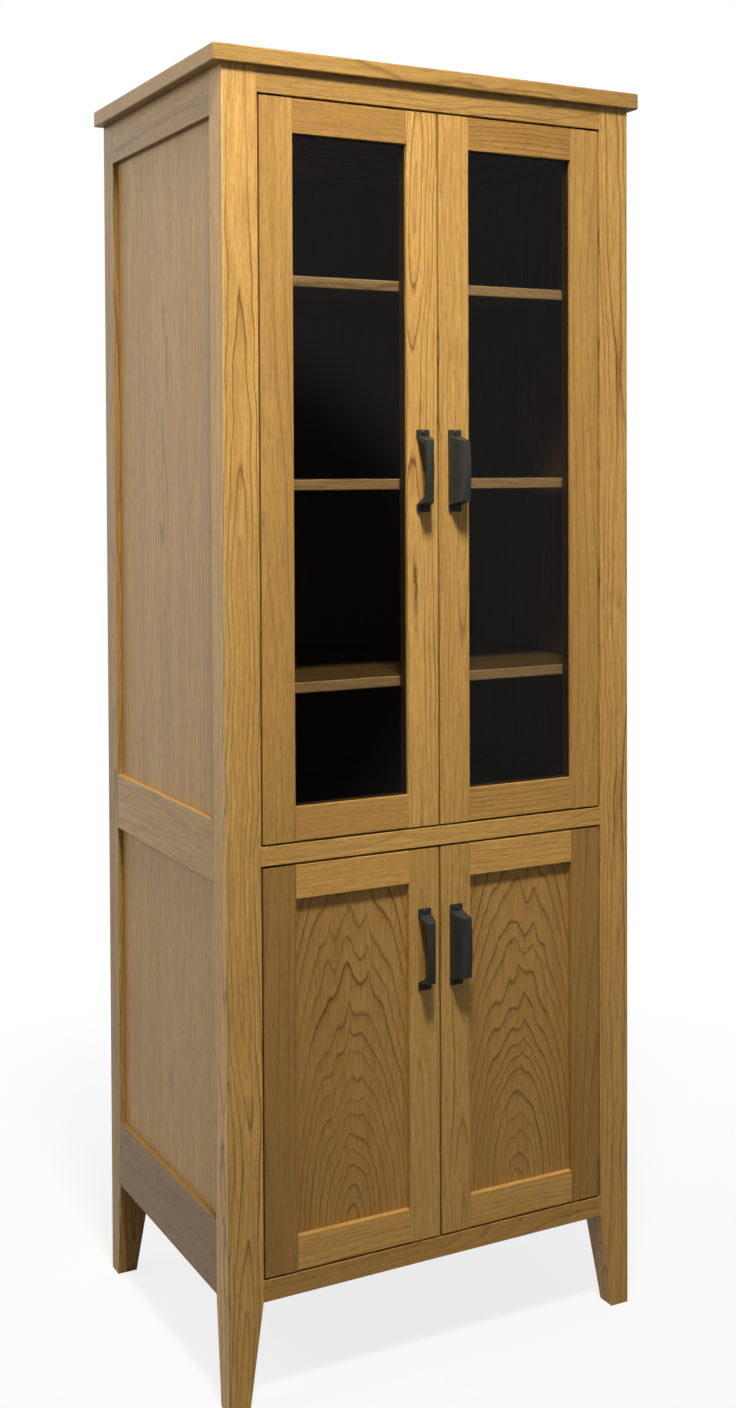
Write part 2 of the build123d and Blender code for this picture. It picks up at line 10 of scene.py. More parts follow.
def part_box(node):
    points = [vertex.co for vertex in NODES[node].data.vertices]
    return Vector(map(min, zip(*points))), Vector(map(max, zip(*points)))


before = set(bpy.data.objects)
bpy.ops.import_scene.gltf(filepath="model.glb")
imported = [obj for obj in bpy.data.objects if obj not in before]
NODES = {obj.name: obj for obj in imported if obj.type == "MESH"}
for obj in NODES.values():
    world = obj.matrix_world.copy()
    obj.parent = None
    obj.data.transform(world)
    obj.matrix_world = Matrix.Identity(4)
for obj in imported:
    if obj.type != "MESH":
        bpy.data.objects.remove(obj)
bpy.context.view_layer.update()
X, Y, Z = 0, 1, 2


# ---------------------------------------------------------------- node helpers
class Tree:
    """A node tree with short calls for the nodes that the materials are built from."""

    def __init__(self, tree):
        self.tree = tree
        self.links = tree.links

    def node(self, kind, **settings):
        made = self.tree.nodes.new(kind)
        for key, value in settings.items():
            setattr(made, key, value)
        return made

    def feed(self, socket, value):
        """Links an output to a socket, or sets the socket's own value. None leaves it as it is."""
        if isinstance(value, bpy.types.NodeSocket):
            self.links.new(value, socket)
        elif value is not None:
            socket.default_value = value

    def place(self):
        """The shaded point, in metres in the piece's own frame."""
        return self.node("ShaderNodeTexCoord").outputs["Object"]

    def split(self, vector):
        """The three coordinates of a vector."""
        made = self.node("ShaderNodeSeparateXYZ")
        self.feed(made.inputs[0], vector)
        return made.outputs

    def math(self, operation, a, b=None, c=None, clamp=False):
        made = self.node("ShaderNodeMath", operation=operation, use_clamp=clamp)
        for socket, value in zip(made.inputs, (a, b, c)):
            self.feed(socket, value)
        return made.outputs[0]

    def vector(self, operation, a, b=None, result="Vector"):
        made = self.node("ShaderNodeVectorMath", operation=operation)
        self.feed(made.inputs[0], a)
        self.feed(made.inputs[1], b)
        return made.outputs[result]

    def noise(self, place, scale, seed, detail=2.0, roughness=0.5):
        """Noise from 0 to 1 with its own scale along each axis, in waves per metre."""
        moved = self.vector("ADD", self.vector("MULTIPLY", place, scale), seed)
        made = self.node("ShaderNodeTexNoise", noise_dimensions="3D")
        self.feed(made.inputs["Vector"], moved)
        made.inputs["Scale"].default_value = 1.0
        made.inputs["Detail"].default_value = detail
        made.inputs["Roughness"].default_value = roughness
        return made.outputs["Fac"]

    def line_noise(self, value, rate, seed):
        """Smooth noise from 0 to 1 along one value."""
        made = self.node("ShaderNodeTexNoise", noise_dimensions="1D")
        self.feed(made.inputs["W"], self.math("MULTIPLY_ADD", value, rate, seed))
        made.inputs["Scale"].default_value = 1.0
        made.inputs["Detail"].default_value = 0.0
        return made.outputs["Fac"]

    def chance(self, value, seed):
        """A random number from 0 to 1 for each whole value."""
        made = self.node("ShaderNodeTexWhiteNoise", noise_dimensions="1D")
        self.feed(made.inputs["W"], self.math("ADD", self.math("FLOOR", value), seed))
        return made.outputs["Value"]

    def swing(self, noise, reach):
        """Noise turned into a value from -reach to +reach."""
        return self.math("MULTIPLY_ADD", noise, 2.0 * reach, -reach)

    def share(self, cosine):
        """A value from -1 to 1 turned into one from 0 to 1."""
        return self.math("MULTIPLY_ADD", cosine, 0.5, 0.5)

    def ramp(self, value, stops):
        """A ramp through (position, grey or colour) stops."""
        made = self.node("ShaderNodeValToRGB")
        self.feed(made.inputs[0], value)
        elements = made.color_ramp.elements
        while len(elements) < len(stops):
            elements.new(0.5)
        for element, (position, colour) in zip(elements, stops):
            element.position = position
            element.color = (*colour, 1.0) if isinstance(colour, tuple) else (colour, colour, colour, 1.0)
        return made.outputs[0]

    def blend(self, factor, a, b, mode="MIX"):
        """Colour a turning into colour b, or taking b in another mode, as the factor goes from 0 to 1."""
        made = self.node("ShaderNodeMix", data_type="RGBA", blend_type=mode)
        self.feed(made.inputs[0], factor)
        self.feed(made.inputs[6], (*a, 1.0) if isinstance(a, tuple) else a)
        self.feed(made.inputs[7], (*b, 1.0) if isinstance(b, tuple) else b)
        return made.outputs[2]

    def mix(self, factor, first, second):
        """One shader turning into another as the factor goes from 0 to 1."""
        made = self.node("ShaderNodeMixShader")
        for socket, value in zip(made.inputs, (factor, first, second)):
            self.feed(socket, value)
        return made.outputs[0]

    def bump(self, height, strength, distance):
        made = self.node("ShaderNodeBump")
        made.inputs["Strength"].default_value = strength
        made.inputs["Distance"].default_value = distance
        self.feed(made.inputs["Height"], height)
        return made.outputs["Normal"]


def new_material(name):
    """A material with an empty tree, and its helper."""
    material = bpy.data.materials.new(name)
    material.use_nodes = True
    material.node_tree.nodes.clear()
    return material, Tree(material.node_tree)


def finish_material(tree, shader):
    output = tree.node("ShaderNodeOutputMaterial")
    tree.links.new(shader, output.inputs["Surface"])


def finish_surface(tree, colour, roughness, metallic=0.0, ior=None, normal=None):
    """Ends a material in a surface with this look."""
    shader = tree.node("ShaderNodeBsdfPrincipled")
    shader.inputs["Metallic"].default_value = metallic
    tree.feed(shader.inputs["Base Color"], colour)
    tree.feed(shader.inputs["Roughness"], roughness)
    tree.feed(shader.inputs["IOR"], ior)
    tree.feed(shader.inputs["Normal"], normal)
    finish_material(tree, shader.outputs[0])


# ---------------------------------------------------------------- oak: its figure and colours
HONEY = (0.700, 0.432, 0.130)
AMBER = (0.510, 0.280, 0.074)
BROWN = (0.185, 0.082, 0.020)
OAK_IOR = 1.48

# In metres. ring: distance between growth rings. depth: how far the pith lies behind the middle of the
# piece. slope and bend: how fast the piece runs out of the rings, and how that changes along it.
# wobble: waves in the middle of a figure, at its rate across and along, in waves per metre. drift: slow
# waves, at its rate along. weave: how far the lines wander sideways. line: how dark they are drawn.
# least: the faintest ring's share.
FIGURES = {
    "post": dict(
        ring=0.0080, depth=0.020, slope=0.010, bend=0.0, wobble=0.0030, rate=(60.0, 6.0),
        drift=0.036, drift_rate=1.7, weave=0.0075, line=1.15, least=0.30),
    "stile": dict(
        ring=0.0070, depth=0.020, slope=0.012, bend=0.0, wobble=0.0022, rate=(60.0, 6.0),
        drift=0.028, drift_rate=2.1, weave=0.0060, line=1.05, least=0.25),
    "quarter": dict(
        ring=0.0050, depth=0.090, slope=0.006, bend=0.0, wobble=0.0010, rate=(50.0, 5.0),
        drift=0.014, drift_rate=1.4, weave=0.0035, line=0.62, least=0.25),
    "rail": dict(
        ring=0.0075, depth=0.034, slope=0.060, bend=0.0, wobble=0.0024, rate=(60.0, 9.0),
        drift=0.030, drift_rate=3.6, weave=0.0050, line=0.85, least=0.25),
    "flame": dict(
        ring=0.0080, depth=0.076, slope=0.255, bend=0.232, wobble=0.0155, rate=(31.0, 4.6),
        drift=0.008, drift_rate=3.0, weave=0.0030, line=1.22, least=0.62),
    "side": dict(
        ring=0.0100, depth=0.030, slope=0.030, bend=0.0, wobble=0.0120, rate=(30.0, 5.0),
        drift=0.026, drift_rate=1.4, weave=0.0080, line=0.62, least=0.25),
    "board": dict(
        ring=0.0090, depth=0.060, slope=0.060, bend=0.0, wobble=0.0018, rate=(42.0, 5.0),
        drift=0.020, drift_rate=2.4, weave=0.0050, line=0.70, least=0.25),
}

# The oak's noises, in waves per metre across the grain, into the piece and along the grain.
WEAVE_WAVES = (10.0, 10.0, 9.0)
RAGGED_WAVES = (260.0, 260.0, 60.0)
FADE_WAVES = (16.0, 16.0, 4.0)
STREAK_WAVES = (260.0, 260.0, 11.0)
FINE_WAVES = (640.0, 640.0, 30.0)
PORE_WAVES = (1100.0, 1100.0, 70.0)
BROAD_WAVES = (22.0, 22.0, 1.6)
DRIFT_ACROSS, SWAY_ACROSS = 3.0, 2.0
SWAY_RATE, SWAY_REACH = 0.8, 0.7      # as shares of the drift's own rate and reach

# What a noise or a distance from 0 to 1 is worth, as (position, worth) stops.
NEAR_PITH = [(0.0, 1.0), (0.25, 1.0), (0.62, 0.18), (1.0, 0.10)]
RING_FADE = [(0.0, 0.45), (0.36, 0.55), (0.58, 1.0), (1.0, 1.0)]
RING_GLOW = [(0.0, 0.0), (0.56, 0.0), (0.66, 1.0), (0.82, 0.25), (1.0, 0.0)]
RING_PROFILE = [(0.0, 0.02), (0.28, 0.08), (0.42, 0.32), (0.50, 1.0), (0.55, 0.36), (0.64, 0.06), (1.0, 0.02)]
BROAD_SHARE = [(0.0, 0.0), (0.33, 0.0), (0.66, 1.0), (1.0, 1.0)]
STREAK_SHARE = [(0.0, 0.0), (0.40, 0.0), (0.68, 0.60), (1.0, 0.7)]
FINE_SHARE = [(0.0, 0.0), (0.45, 0.0), (0.70, 0.58), (1.0, 0.7)]
PORE_SHARE = [(0.0, 1.0), (0.36, 0.9), (0.46, 0.0), (1.0, 0.0)]

PITH_RATE = 8.0             # the wobble is down to a tenth at one part in this of a metre off the pith
UNEVEN_RATE = 0.4           # waves per ring in the distance between rings
UNEVEN, RAGGED = 0.42, 0.07  # in rings: how far that shifts a ring, and how rough its line is
STRONGEST_RING = 1.10
GLOW_SHARE, GLOW_LIFT = 0.30, 1.10   # how much of the early wood shows, and how much lighter it is
PORE_DARKNESS = 0.36
LIGHT_SHARE = 0.85          # how amber the palest wood is at tone 1
WARM_LIFT = 0.42            # how much more amber its warm patches are
STREAK_SHADE = 0.30         # how far the streaks go from amber to brown
STREAK_RELIEF = 0.5         # next to the pores' depth
OAK_RELIEF = dict(strength=0.22, distance=0.0004)
LEAST_ROUGH, STREAK_ROUGH, PORE_ROUGH = 0.36, 0.10, 0.08

# What each random place in the noise is for, in the order in which the places are drawn.
SEEDS = ("wobble", "drift", "sway", "rings", "streak", "pores", "broad")
SEED_REACH = 40.0


def shade(colour, factor):
    return tuple(part * factor for part in colour)


def between(a, b, factor):
    return tuple(low + (high - low) * factor for low, high in zip(a, b))


def ring_lines(tree, local, look, off_pith, seeds):
    """How dark each point is from the growth rings' late wood, and how light from their early wood, for
    a piece that runs along its local Z. The rings lie round a pith that slants away behind the piece,
    which draws arches on its face."""
    u, w, length = tree.split(local)

    def waves(rates, use, reach, roughness=0.5):
        return tree.swing(tree.noise(local, rates, seeds[use], 1.0, roughness), reach)

    slow = look["drift_rate"]
    drift = waves((DRIFT_ACROSS, DRIFT_ACROSS, slow), "drift", look["drift"])
    sway = waves((SWAY_ACROSS, SWAY_ACROSS, slow * SWAY_RATE), "sway", look["drift"] * SWAY_REACH)
    weave = waves(WEAVE_WAVES, "sway", look["weave"])
    offset = tree.math("ADD", tree.math("SUBTRACT", u, off_pith), tree.math("ADD", sway, weave))

    near_pith = tree.ramp(tree.math("MULTIPLY", tree.math("ABSOLUTE", offset), PITH_RATE), NEAR_PITH)
    across, along = look["rate"]
    peaks = tree.math("ABSOLUTE", waves((across, across, along), "wobble", 1.0, 0.4))
    wobble = tree.math("MULTIPLY", tree.math("MULTIPLY", peaks, near_pith), look["wobble"])
    run_out = tree.math("MULTIPLY_ADD", length, -look["bend"], look["slope"])
    reach = tree.math("MULTIPLY_ADD", length, run_out, look["depth"])
    reach = tree.math("ADD", tree.math("ADD", reach, w), tree.math("ADD", wobble, drift))
    square = tree.math("ADD", tree.math("MULTIPLY", offset, offset), tree.math("MULTIPLY", reach, reach))
    radius = tree.math("SQRT", square)

    shift_seed, strength_seed, _ = seeds["rings"]
    uneven = tree.swing(tree.line_noise(radius, UNEVEN_RATE / look["ring"], shift_seed), UNEVEN)
    ragged = waves(RAGGED_WAVES, "streak", RAGGED)
    phase = tree.math("ADD", tree.math("DIVIDE", radius, look["ring"]), tree.math("ADD", uneven, ragged))
    least = look["least"]
    strength = tree.math("MULTIPLY_ADD", tree.chance(phase, strength_seed), STRONGEST_RING - least, least)
    fade = tree.ramp(tree.noise(local, FADE_WAVES, seeds["rings"], 1.0), RING_FADE)
    strength = tree.math("MULTIPLY", strength, fade)
    place_in_ring = tree.math("FRACT", phase)
    late = tree.math("MULTIPLY", tree.ramp(place_in_ring, RING_PROFILE), strength)
    early = tree.math("MULTIPLY", tree.ramp(place_in_ring, RING_GLOW), strength)
    return late, early


def oak(node, figure, grain, tone, tint_and_shade, off_pith, stain_and_shade):
    """Oak for one node, sawn from its own stretch of a log. tone goes from honey, 0, to amber, 1, and
    the darkening factor darkens it: the board's own colour, and painted shade on some pieces."""
    name = "oak_" + node
    chance = random.Random(name)
    seeds = {use: Vector(chance.uniform(-SEED_REACH, SEED_REACH) for _ in range(3)) for use in SEEDS}
    low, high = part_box(node)
    middle = (low + high) / 2
    look = FIGURES[figure]

    material, tree = new_material(name)
    place = tree.split(tree.place())
    join = tree.node("ShaderNodeCombineXYZ")
    along, across, deep = grain
    for socket, axis in zip(join.inputs, (across, deep, along)):
        tree.feed(socket, tree.math("SUBTRACT", place[axis], middle[axis]))
    local = join.outputs[0]

    late, early = ring_lines(tree, local, look, off_pith, seeds)
    streak = tree.noise(local, STREAK_WAVES, seeds["streak"], 3.0, 0.6)
    fine = tree.noise(local, FINE_WAVES, seeds["pores"], 2.0, 0.5)
    pores = tree.ramp(tree.noise(local, PORE_WAVES, seeds["pores"], 1.0, 0.5), PORE_SHARE)
    broad = tree.noise(local, BROAD_WAVES, seeds["broad"], 2.0)

    light = shade(between(HONEY, AMBER, tone * LIGHT_SHARE), tint_and_shade)
    warm = shade(between(HONEY, AMBER, min(1.0, tone + WARM_LIFT)), tint_and_shade)
    deep_warm = shade(between(AMBER, BROWN, STREAK_SHADE), tint_and_shade)
    dark = shade(BROWN, tint_and_shade)
    colour = tree.blend(tree.ramp(broad, BROAD_SHARE), light, warm)
    colour = tree.blend(tree.ramp(streak, STREAK_SHARE), colour, deep_warm)
    colour = tree.blend(tree.ramp(fine, FINE_SHARE), colour, deep_warm)
    glow = tree.math("MULTIPLY", early, GLOW_SHARE * look["line"], clamp=True)
    colour = tree.blend(glow, colour, shade(light, GLOW_LIFT))
    colour = tree.blend(tree.math("MULTIPLY", late, look["line"], clamp=True), colour, dark)
    colour = tree.blend(tree.math("MULTIPLY", pores, PORE_DARKNESS), colour, dark)
    # Stains, some of which paint shade inside the glazed part and on the back panel's inner face.
    if stain_and_shade:
        colour = stain_and_shade(tree, place, colour)

    rough = tree.math("MULTIPLY_ADD", streak, STREAK_ROUGH, LEAST_ROUGH)
    rough = tree.math("MULTIPLY_ADD", pores, PORE_ROUGH, rough)
    height = tree.math("SUBTRACT", tree.math("MULTIPLY", streak, STREAK_RELIEF), pores)
    finish_surface(tree, colour, rough, ior=OAK_IOR, normal=tree.bump(height, **OAK_RELIEF))
    return material


# ---------------------------------------------------------------- oak: its stains and painted shade
# Each stain and each painted shade is what it leaves of the oak's red, green and blue.
# painted shade on the faces that look into the glazed part
ROOM_PAINTED_SHADE = (0.30, 0.26, 0.21)
TOP_RAIL_STAIN = (0.74, 0.70, 0.66)
# painted shade on the shelves behind their front edges
SHELF_PAINTED_SHADE = (0.26, 0.24, 0.20)
SHELF_EDGE_STAIN = (1.00, 1.04, 1.45)
# painted shade on the back panel's inner face
BACK_PAINTED_SHADE = (0.080, 0.075, 0.085)
REAR_STAIN = (0.34, 0.27, 0.30)

# In metres.
DOOR_GAP = 0.003
OVERLAP = 0.001      # how far past a shaded face the painted shade reaches
HAIR = 0.0003        # the same beside the doors, where more of it would show
PALE_EDGE = 0.0012   # the depth of a shelf's front left out of the painted shade, rounded arris included


def inside(tree, place, limits):
    """1 within limits along each axis, 0 outside them."""
    mask = None
    for axis, (low, high) in limits.items():
        above = tree.math("GREATER_THAN", place[axis], low)
        below = tree.math("LESS_THAN", place[axis], high)
        within = tree.math("MULTIPLY", above, below)
        mask = tree.math("MULTIPLY", mask, within) if mask else within
    return mask


def room_painted_shade(tree, place, colour):
    """Darkens the faces that look into the glazed part with painted shade, and leaves the outside as it is.
    """
    _, (_, _, ceiling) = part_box("front_right_post")
    (wall, _, _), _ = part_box("right_upper_side_panel")
    (_, back, _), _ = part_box("back_panel")
    (_, _, door_foot), (_, door_back, _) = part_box("upper_right_door_hinge_stile")
    limits = {X: (-wall - OVERLAP, wall + OVERLAP),
              Y: (door_back - HAIR, back + OVERLAP),
              Z: (door_foot - DOOR_GAP - HAIR, ceiling + OVERLAP)}
    return tree.blend(inside(tree, place, limits), colour, ROOM_PAINTED_SHADE, "MULTIPLY")


def darker_top_rail(tree, place, colour):
    """The upper doors' top rails come from a darker board than their bottom rails."""
    low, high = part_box("upper_left_door_rails")
    above = tree.math("GREATER_THAN", place[Z], (low[Z] + high[Z]) / 2)
    return tree.blend(above, colour, TOP_RAIL_STAIN, "MULTIPLY")


def shelf_tint_and_painted_shade(tree, place, colour):
    """Leaves the shelf's front edge in pale oak and darkens the rest with painted shade."""
    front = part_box("upper_shelf_middle")[0][Y]
    behind = tree.math("GREATER_THAN", place[Y], front + PALE_EDGE)
    return tree.blend(1.0, colour, tree.blend(behind, SHELF_EDGE_STAIN, SHELF_PAINTED_SHADE), "MULTIPLY")


def back_painted_shade_and_stain(tree, place, colour):
    """The back panel is painted almost black with shade towards the room inside, and stained walnut brown
    behind.
    """
    low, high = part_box("back_panel")
    behind = tree.math("GREATER_THAN", place[Y], (low[Y] + high[Y]) / 2)
    return tree.blend(1.0, colour, tree.blend(behind, BACK_PAINTED_SHADE, REAR_STAIN), "MULTIPLY")


# ---------------------------------------------------------------- other materials
def grained(name, colours, grain, rough, rough_grain, metallic=0.0, relief=None, patches=None):
    """A finish with a fine grain, which sets its roughness and its relief, and also its colour where no
    broader patches do. Scales are in waves per metre."""
    material, tree = new_material(name)
    place = tree.place()
    fine = tree.noise(place, **grain)
    spread = tree.noise(place, **patches) if patches else fine
    finish_surface(tree, tree.blend(spread, *colours), tree.math("MULTIPLY_ADD", fine, rough_grain, rough),
                   metallic=metallic, normal=tree.bump(fine, **relief) if relief else None)
    return material


def iron():
    """Satin black cast iron with a faint sand-cast grain."""
    return grained(
        "black_iron", colours=((0.020, 0.022, 0.020), (0.036, 0.039, 0.036)),
        grain=dict(scale=(900.0, 900.0, 900.0), seed=(3.0, 5.0, 7.0), detail=3.0, roughness=0.6),
        patches=dict(scale=(70.0, 70.0, 70.0), seed=(1.0, 2.0, 9.0), detail=2.0),
        rough=0.34, rough_grain=0.18, relief=dict(strength=0.20, distance=0.0003))


def zinc():
    """Zinc-plated steel, brushed along its length."""
    return grained(
        "zinc_steel", colours=((0.50, 0.51, 0.52), (0.68, 0.68, 0.67)),
        grain=dict(scale=(300.0, 2600.0, 2600.0), seed=(4.0, 1.0, 6.0), detail=2.0),
        rough=0.24, rough_grain=0.20, metallic=1.0)


def dark_steel():
    """Blackened, oiled steel."""
    return grained(
        "dark_steel", colours=((0.060, 0.052, 0.045), (0.105, 0.092, 0.080)),
        grain=dict(scale=(500.0, 500.0, 500.0), seed=(9.0, 4.0, 2.0), detail=3.0, roughness=0.6),
        rough=0.42, rough_grain=0.20, metallic=1.0)


def catch_plastic():
    """Brown moulded plastic."""
    return grained(
        "catch_plastic", colours=((0.050, 0.028, 0.015), (0.075, 0.042, 0.022)),
        grain=dict(scale=(1500.0, 1500.0, 1500.0), seed=(2.0, 8.0, 5.0), detail=2.0),
        rough=0.45, rough_grain=0.12, relief=dict(strength=0.15, distance=0.0002))


HEAD_ON_GLOSS = 0.04   # what a glass face reflects head-on
GLANCING_POWER = 5.0   # how late the reflection rises to the whole at a glancing angle


def glass():
    """A clear pane with a trace of grey: light passes straight through it, and its faces reflect."""
    material, tree = new_material("door_glass")
    ripple = tree.noise(tree.place(), (5.0, 5.0, 3.0), (6.0, 2.0, 4.0), 1.0)
    through = tree.node("ShaderNodeBsdfTransparent")
    tree.feed(through.inputs["Color"], tree.blend(ripple, (0.85, 0.86, 0.86), (0.88, 0.89, 0.89)))
    shine = tree.node("ShaderNodeBsdfGlossy")
    shine.inputs["Roughness"].default_value = 0.03
    glancing = tree.math("POWER", tree.node("ShaderNodeLayerWeight").outputs["Facing"], GLANCING_POWER)
    gloss = tree.math("MULTIPLY_ADD", glancing, 1.0 - HEAD_ON_GLOSS, HEAD_ON_GLOSS)
    finish_material(tree, tree.mix(gloss, through.outputs[0], shine.outputs[0]))
    return material


# ---------------------------------------------------------------- giving each node its finish
# Which axis lies along the grain, across it on the main face, and into the piece.
UPRIGHT, SIDE_UPRIGHT = (Z, X, Y), (Z, Y, X)
LEVEL, SIDE_LEVEL = (X, Z, Y), (Y, Z, X)
FLAT = (X, Y, Z)

# Node names, figure, grain, tone, darkening (the board's own colour, and painted shade on the sides' bottom
# rails),
# # how far the pith lies off the middle across the grain (in metres, the other way round in pieces of the
# left side),
# # and stains, with painted shade on the faces inside the glazed part. The first line that fits counts.
OAK_PIECES = [
    ("front_left_post", "post", UPRIGHT, 0.10, 1.0, 0.004, room_painted_shade),
    ("front_right_post", "post", UPRIGHT, 0.10, 0.96, 0.004, room_painted_shade),
    ("rear_*_post", "post", UPRIGHT, 0.10, 0.70, 0.004, room_painted_shade),
    ("upper_*_hinge_stile", "quarter", UPRIGHT, 0.50, 0.84, 0.03, None),
    ("lower_*_hinge_stile", "quarter", UPRIGHT, 0.85, 0.69, 0.03, None),
    ("upper_left_*_meeting_stile", "stile", UPRIGHT, 0.12, 0.95, 0.006, None),
    ("upper_right_*_meeting_stile", "stile", UPRIGHT, 0.12, 0.90, 0.006, None),
    ("lower_*_meeting_stile", "stile", UPRIGHT, 0.12, 0.86, 0.006, None),
    ("upper_*_door_rails", "rail", LEVEL, 0.45, 0.91, 0.0, darker_top_rail),
    ("lower_*_door_rails", "rail", LEVEL, 0.45, 1.04, 0.0, None),
    ("*_door_panel", "flame", UPRIGHT, 0.58, 0.785, 0.0, None),
    ("*_glazing_beads", "quarter", UPRIGHT, 0.60, 0.10, 0.0, None),
    ("front_top_rail", "rail", LEVEL, 0.22, 0.73, 0.02, room_painted_shade),
    ("front_mid_rail", "rail", LEVEL, 0.22, 0.98, 0.02, room_painted_shade),
    ("front_bottom_rail", "rail", LEVEL, 0.50, 0.84, 0.02, room_painted_shade),
    ("rear_rails", "rail", LEVEL, 0.22, 0.92, 0.02, room_painted_shade),
    ("side_top_rails", "quarter", SIDE_LEVEL, 0.60, 0.83, 0.02, room_painted_shade),
    ("side_mid_rails", "quarter", SIDE_LEVEL, 0.25, 0.82, 0.02, room_painted_shade),
    # The sides' bottom rails are darkened as painted shade, for the shade that falls low on the cabinet's
    # sides.
    ("side_bottom_rails", "quarter", SIDE_LEVEL, 1.0, 0.52, 0.02, room_painted_shade),
    ("*_side_panel", "side", SIDE_UPRIGHT, 0.20, 0.85, 0.0, room_painted_shade),
    ("back_panel", "side", UPRIGHT, 0.60, 1.0, 0.0, back_painted_shade_and_stain),
    ("upper_shelf*", "board", FLAT, 0.35, 0.85, 0.0, shelf_tint_and_painted_shade),
    ("middle_deck", "board", FLAT, 0.35, 0.85, 0.0, room_painted_shade),
    ("bottom_deck", "board", FLAT, 0.35, 0.90, 0.0, None),
    ("lower_shelf", "board", FLAT, 0.35, 0.90, 0.0, None),
    ("top_board", "board", FLAT, 0.05, 0.72, 0.0, None),
]

ARRIS = 0.0007             # in metres, how far the wood's edges are rounded
ARRIS_SEGMENTS = 2
SAME_POINT = 0.00001       # in metres
SHARP_EDGE = math.radians(40.0)


def dress(node, material):
    """Puts one material on a CAD node."""
    piece = NODES[node]
    piece.data.materials.clear()
    piece.data.materials.append(material)


def soften(node):
    """Rounds the arrises of a CAD node with modifiers, leaving its mesh as it is."""
    piece = NODES[node]
    weld = piece.modifiers.new("weld", "WELD")
    weld.merge_threshold = SAME_POINT
    bevel = piece.modifiers.new("arris", "BEVEL")
    bevel.width = ARRIS
    bevel.segments = ARRIS_SEGMENTS
    bevel.limit_method = "ANGLE"
    bevel.angle_limit = SHARP_EDGE
    bevel.harden_normals = True


def dress_wood():
    """Oak on every wooden node, with the grain along the piece."""
    for node in NODES:
        plan = next((rest for names, *rest in OAK_PIECES if fnmatch(node, names)), None)
        if plan is None:
            continue
        figure, grain, tone, tint_and_shade, off_pith, stain_and_shade = plan
        outwards = -1.0 if "left" in node else 1.0
        dress(node, oak(node, figure, grain, tone, tint_and_shade, outwards * off_pith, stain_and_shade))
        if not node.endswith("_beads"):
            soften(node)


def dress_hardware():
    """Iron, steel, glass and plastic."""
    black, bright, dark, pane, brown = iron(), zinc(), dark_steel(), glass(), catch_plastic()
    finishes = {"*_handle": black, "*_handle_screws": black, "*_pivot_leaves": dark, "*_glass": pane,
                "*_strike_plate": bright, "shelf_pins": bright, "magnet_catches": brown}
    for node in NODES:
        for names, finish in finishes.items():
            if fnmatch(node, names):
                dress(node, finish)


# ---------------------------------------------------------------- studio
# Places are in metres from the floor below the middle of the cabinet, angles in degrees, the lens in mm.
CAMERA_PLACE = Vector((-1.1623, -2.2230, 1.2490))
CAMERA_YAW, CAMERA_PITCH, CAMERA_ROLL = 27.69, -1.33, -0.25
CAMERA_LENS, CAMERA_SHIFT = 42.5, -0.1395

LAMP = (1.0, 0.94, 0.82)
WINDOW = (0.95, 0.97, 1.0)
LIGHTS = {
    "key": dict(place=(-0.54, -1.37, 3.33), target=(-0.02, -0.22, 1.26), size=0.40, power=12.6,
                colour=LAMP, spread=60.0),
    "front": dict(place=(-0.55, -1.90, 1.10), target=(-0.10, -0.22, 0.90), size=0.90, power=1.8,
                  colour=LAMP, spread=150.0),
    "side": dict(place=(-2.10, 0.45, 2.50), target=(-0.32, 0.0, 1.20), size=1.20, power=10.5,
                 colour=WINDOW, spread=150.0),
}
MIRRORED_LIGHTS = ("key",)   # those that show in gloss

# Directions in the room, and how bright it is from the far side of each, 0, to the near side, 1.
TO_WINDOW, TO_DARK_CORNER = (-0.42, 0.907, 0.0), (0.357, -0.930, -0.087)
WINDOW_LIGHT = [(0.0, (0.20, 0.20, 0.20)), (0.45, (0.15, 0.15, 0.15)), (0.70, (0.34, 0.35, 0.36)),
                (0.88, (0.98, 1.0, 1.03)), (1.0, (1.25, 1.28, 1.32))]
HEIGHT_LIGHT = [(0.0, 0.25), (0.36, 0.60), (0.50, 0.90), (0.62, 1.0), (1.0, 0.9)]
CORNER_LIGHT = [(0.0, 1.0), (0.66, 1.0), (0.80, 0.12), (1.0, 0.05)]
CORNER_SHARPNESS = 20.0      # the corner's ramp takes up one part in this of the cosine to it

FLOOR_REACH = 40.0           # in metres
FLOOR_FADE_LENGTH = 2.0      # in metres from the cabinet, where the floor has turned white
FLOOR_FADE = [(0.0, 0.80), (0.25, 0.82), (0.75, 1.0), (1.0, 1.0)]


def add_camera():
    """The photograph's viewing angle: level with the upper handles, from the front left."""
    data = bpy.data.cameras.new("camera")
    data.lens = CAMERA_LENS
    data.shift_y = CAMERA_SHIFT
    camera = bpy.data.objects.new("camera", data)
    bpy.context.scene.collection.objects.link(camera)
    yaw, pitch, roll = (math.radians(a) for a in (CAMERA_YAW, CAMERA_PITCH, CAMERA_ROLL))
    turn = Matrix.Rotation(-yaw, 4, "Z") @ Matrix.Rotation(math.pi / 2 + pitch, 4, "X")
    camera.matrix_world = Matrix.Translation(CAMERA_PLACE) @ turn @ Matrix.Rotation(roll, 4, "Z")
    bpy.context.scene.camera = camera


def add_area(name, place, target, size, power, colour, spread):
    """A square soft box that faces a target, with its light held within a spread in degrees."""
    data = bpy.data.lights.new(name, "AREA")
    data.size = size
    data.energy = power
    data.color = colour
    data.spread = math.radians(spread)
    light = bpy.data.objects.new(name, data)
    bpy.context.scene.collection.objects.link(light)
    light.location = place
    light.visible_glossy = name in MIRRORED_LIGHTS
    light.rotation_euler = (Vector(target) - Vector(place)).to_track_quat("-Z", "Y").to_euler()


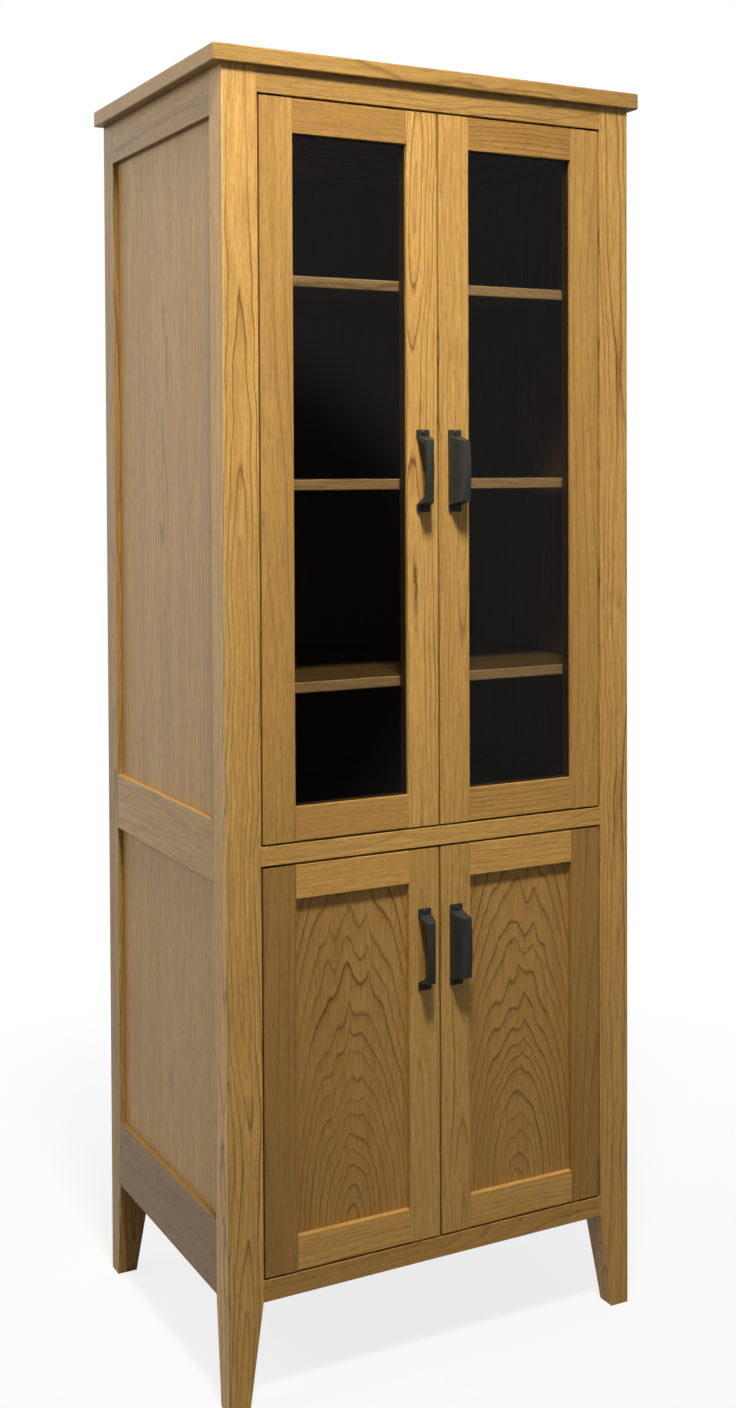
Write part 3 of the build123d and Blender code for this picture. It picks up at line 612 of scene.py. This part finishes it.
def add_world():
    """White behind the object, and a soft room: a window behind it on the left, a dark corner in front."""
    world = bpy.data.worlds.new("room")
    bpy.context.scene.world = world
    world.use_nodes = True
    world.node_tree.nodes.clear()
    tree = Tree(world.node_tree)
    direction = tree.node("ShaderNodeTexCoord").outputs["Generated"]
    to_window = tree.vector("DOT_PRODUCT", direction, TO_WINDOW, result="Value")
    to_corner = tree.vector("DOT_PRODUCT", direction, TO_DARK_CORNER, result="Value")
    in_corner = tree.math("MULTIPLY_ADD", to_corner, CORNER_SHARPNESS, 1.0 - CORNER_SHARPNESS)
    level = tree.ramp(tree.share(to_window), WINDOW_LIGHT)
    level = tree.blend(1.0, level, tree.ramp(in_corner, CORNER_LIGHT), "MULTIPLY")
    height = tree.ramp(tree.share(tree.split(direction)[Z]), HEIGHT_LIGHT)
    room = tree.node("ShaderNodeBackground")
    tree.feed(room.inputs["Color"], tree.blend(1.0, level, height, "MULTIPLY"))
    white = tree.node("ShaderNodeBackground")
    white.inputs["Color"].default_value = (1.0, 1.0, 1.0, 1.0)
    seen = tree.node("ShaderNodeLightPath").outputs["Is Camera Ray"]
    output = tree.node("ShaderNodeOutputWorld")
    tree.links.new(tree.mix(seen, room.outputs[0], white.outputs[0]), output.inputs["Surface"])


def add_floor():
    """A plain pale floor that keeps the shadow at the feet and fades into the white behind."""
    corners = [(-FLOOR_REACH, -FLOOR_REACH, 0), (FLOOR_REACH, -FLOOR_REACH, 0),
               (FLOOR_REACH, FLOOR_REACH, 0), (-FLOOR_REACH, FLOOR_REACH, 0)]
    mesh = bpy.data.meshes.new("floor")
    mesh.from_pydata(corners, [], [(0, 1, 2, 3)])
    floor = bpy.data.objects.new("floor", mesh)
    bpy.context.scene.collection.objects.link(floor)
    material, tree = new_material("floor_paint")
    seen = tree.node("ShaderNodeLightPath").outputs["Is Camera Ray"]
    distance = tree.vector("LENGTH", tree.place(), result="Value")
    fade = tree.ramp(tree.math("DIVIDE", distance, FLOOR_FADE_LENGTH), FLOOR_FADE)
    matt = tree.node("ShaderNodeBsdfDiffuse")
    tree.feed(matt.inputs["Color"], tree.blend(seen, (0.30, 0.29, 0.27), (0.85, 0.85, 0.85)))
    glow = tree.node("ShaderNodeEmission")
    whitened = tree.mix(tree.math("MULTIPLY", seen, fade), matt.outputs[0], glow.outputs[0])
    finish_material(tree, whitened)
    floor.data.materials.append(material)
    floor.visible_glossy = False


dress_wood()
dress_hardware()
add_camera()
for light_name, settings in LIGHTS.items():
    add_area(light_name, **settings)
add_world()
add_floor()
bpy.context.scene.view_settings.view_transform = "Standard"
